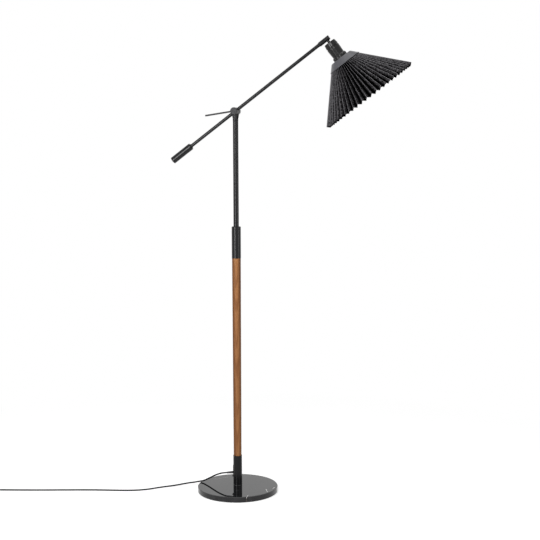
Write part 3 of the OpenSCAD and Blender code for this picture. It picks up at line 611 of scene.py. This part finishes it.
pleats = 58
pleat_w = 0.015
fabric_t = 0.0005
rim_r = 0.1675
shade_h = 0.125
fold_in = 0.010
crown_z = 0.07355
crown_h = 0.0211
crown_t = 0.001
crown_top_r = 0.0372
crown_rim_r = 0.056
crown_slope = (crown_rim_r - crown_top_r) / crown_h
fold_crown_r = crown_rim_r - crown_t * math.sqrt(1 + crown_slope ** 2) - fabric_t
cone_slope = (rim_r - fold_crown_r) / shade_h
cone_angle = math.atan(cone_slope)
top_r = fold_crown_r - fold_in * cone_slope
top_z = crown_z + crown_h - fold_in
rim_z = crown_z + crown_h + shade_h
slant = math.hypot(rim_r - top_r, rim_z - top_z)
half_pleat = math.pi / pleats
folds = 2 * pleats
outer_fold_depth = 0.0003
middle_inset = 0.004
rim_unevenness = 0.0005
rim_drift = 0.0035
face_bow = 0.00035
crease = math.radians(28)
across_face = (0.0, 0.035, 0.12, 0.3, 0.5, 0.7, 0.88, 0.965)
rows = 26


def uneven(k, seed):
    """A steady small irregularity from -1 to 1 for fold number k."""
    return math.sin(k * 12.9898 + seed * 78.233) * math.cos(k * 4.1414 + seed * 3.7)


def fold_point(k, t):
    """Outer fold for even k, inner for odd k, at the share t of the slant."""
    radius = top_r + t * (rim_r - top_r)
    z = top_z + t * (rim_z - top_z)
    half_step = (radius - middle_inset) * math.sin(half_pleat)
    deep = math.sqrt(pleat_w ** 2 - half_step ** 2) if k % 2 else outer_fold_depth
    deep += t * (rim_unevenness + rim_unevenness * uneven(k, 1))
    angle = k * half_pleat + t * rim_drift * uneven(k, 2)
    radius -= deep * math.cos(cone_angle)
    return Vector((radius * math.cos(angle), radius * math.sin(angle),
                   z + deep * math.sin(cone_angle)))


cloth_points = []
cloth_uvs = []
for row in range(rows + 1):
    t = row / rows
    for k in range(folds):
        here = fold_point(k, t)
        there = fold_point((k + 1) % folds, t)
        outward = (there - here).cross(Vector((0, 0, 1))).normalized()
        for s in across_face:
            bow = face_bow * t * math.sin(math.pi * s) * uneven(k, 3)
            cloth_points.append(here.lerp(there, s) + bow * outward)
            cloth_uvs.append(((k + s) * pleat_w, t * slant))
around = folds * len(across_face)
cloth_faces = [(r * around + i, (r + 1) * around + i, (r + 1) * around + (i + 1) % around,
                r * around + (i + 1) % around) for r in range(rows) for i in range(around)]
shade_mesh = bpy.data.meshes.new("shade_cloth")
shade_mesh.from_pydata([head_frame @ p for p in cloth_points], [], cloth_faces)
cloth_map = shade_mesh.uv_layers.new(name="cloth")
for loop in shade_mesh.loops:
    cloth_map.data[loop.index].uv = cloth_uvs[loop.vertex_index]
for face in shade_mesh.polygons:
    if face.index % around == around - 1:
        for i in face.loop_indices:
            if cloth_map.data[i].uv.x < pleat_w:
                cloth_map.data[i].uv.x += folds * pleat_w
shade_cloth = bpy.data.objects.new("shade_cloth", shade_mesh)
bpy.context.scene.collection.objects.link(shade_cloth)
bpy.ops.object.select_all(action="DESELECT")
shade_cloth.select_set(True)
bpy.context.view_layer.objects.active = shade_cloth
stiffen = shade_cloth.modifiers.new("cloth_thickness", "SOLIDIFY")
stiffen.thickness = fabric_t
stiffen.offset = 0
bpy.ops.object.modifier_apply(modifier="cloth_thickness")
bpy.ops.object.shade_smooth_by_angle(angle=crease)

cloth, tree, bsdf = new_finish("slub_charcoal_cloth")
woven = node(tree, "UVMap", uv_map="cloth").outputs["UV"]


def yarn(scale, low, high):
    """Lighter uneven lengths of yarn, stretched along one direction of the weave."""
    made = node(tree, "TexNoise", {"Vector": mapped(tree, woven, Scale=scale), "Scale": 1.0,
                                   "Detail": 3.0, "Roughness": 0.6}, noise_dimensions="2D")
    return between(tree, made.outputs["Fac"], low, high)


def threads(direction):
    made = node(tree, "TexWave", {"Vector": woven, "Scale": 420.0, "Distortion": 0.6,
                                  "Detail": 1.0}, bands_direction=direction)
    return made.outputs["Fac"]


weft_slubs = yarn((80, 430, 1), 0.48, 0.60)
warp_slubs = yarn((430, 80, 1), 0.50, 0.62)
mottle = yarn((140, 180, 1), 0.40, 0.60)
weave = maths(tree, "MULTIPLY", threads("X"), threads("Y"))
slubs = maths(tree, "MAXIMUM", weft_slubs, warp_slubs)
paler = maths(tree, "MULTIPLY", slubs, between(tree, mottle, 0, 1, 0.2, 1.0))
paler = maths(tree, "MULTIPLY", paler, between(tree, weave, 0, 1, 0.6, 1.0))
tone = blend(tree, weave, (0.002, 0.002, 0.0021), (0.016, 0.0155, 0.0166))
tone = blend(tree, paler, tone, (0.165, 0.160, 0.169))

# Painted shade darkens the depth of the pleats, and a painted highlight runs
# along the outer folds.
pleat_shade_from = 0.25 * pleat_w
pleat_shade_full = 0.65 * pleat_w
fold_highlight_core = 0.0004
fold_highlight_edge = 0.0011
across_cloth = node(tree, "SeparateXYZ", {"Vector": woven}).outputs["X"]
from_fold = maths(tree, "PINGPONG", across_cloth, pleat_w)
# Painted shade in the depth of the pleats.
tone = blend(tree, between(tree, from_fold, pleat_shade_from, pleat_shade_full), tone, (0.001, 0.001, 0.0012))
# Painted highlight along the outer folds.
tone = blend(tree, between(tree, from_fold, fold_highlight_core, fold_highlight_edge, 0.85, 0.0), tone,
             (0.20, 0.194, 0.205))
raised = maths(tree, "ADD", weave, slubs)
fill(tree, bsdf, {"Base Color": tone, "Specular IOR Level": 0.0,
                  "Roughness": between(tree, mottle, 0, 1, 0.78, 0.95),
                  "Normal": bump(tree, raised, 0.5, 0.0004)})
shade_mesh.materials.append(cloth)
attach(shade_cloth, "head")
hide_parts("pleated_shade")
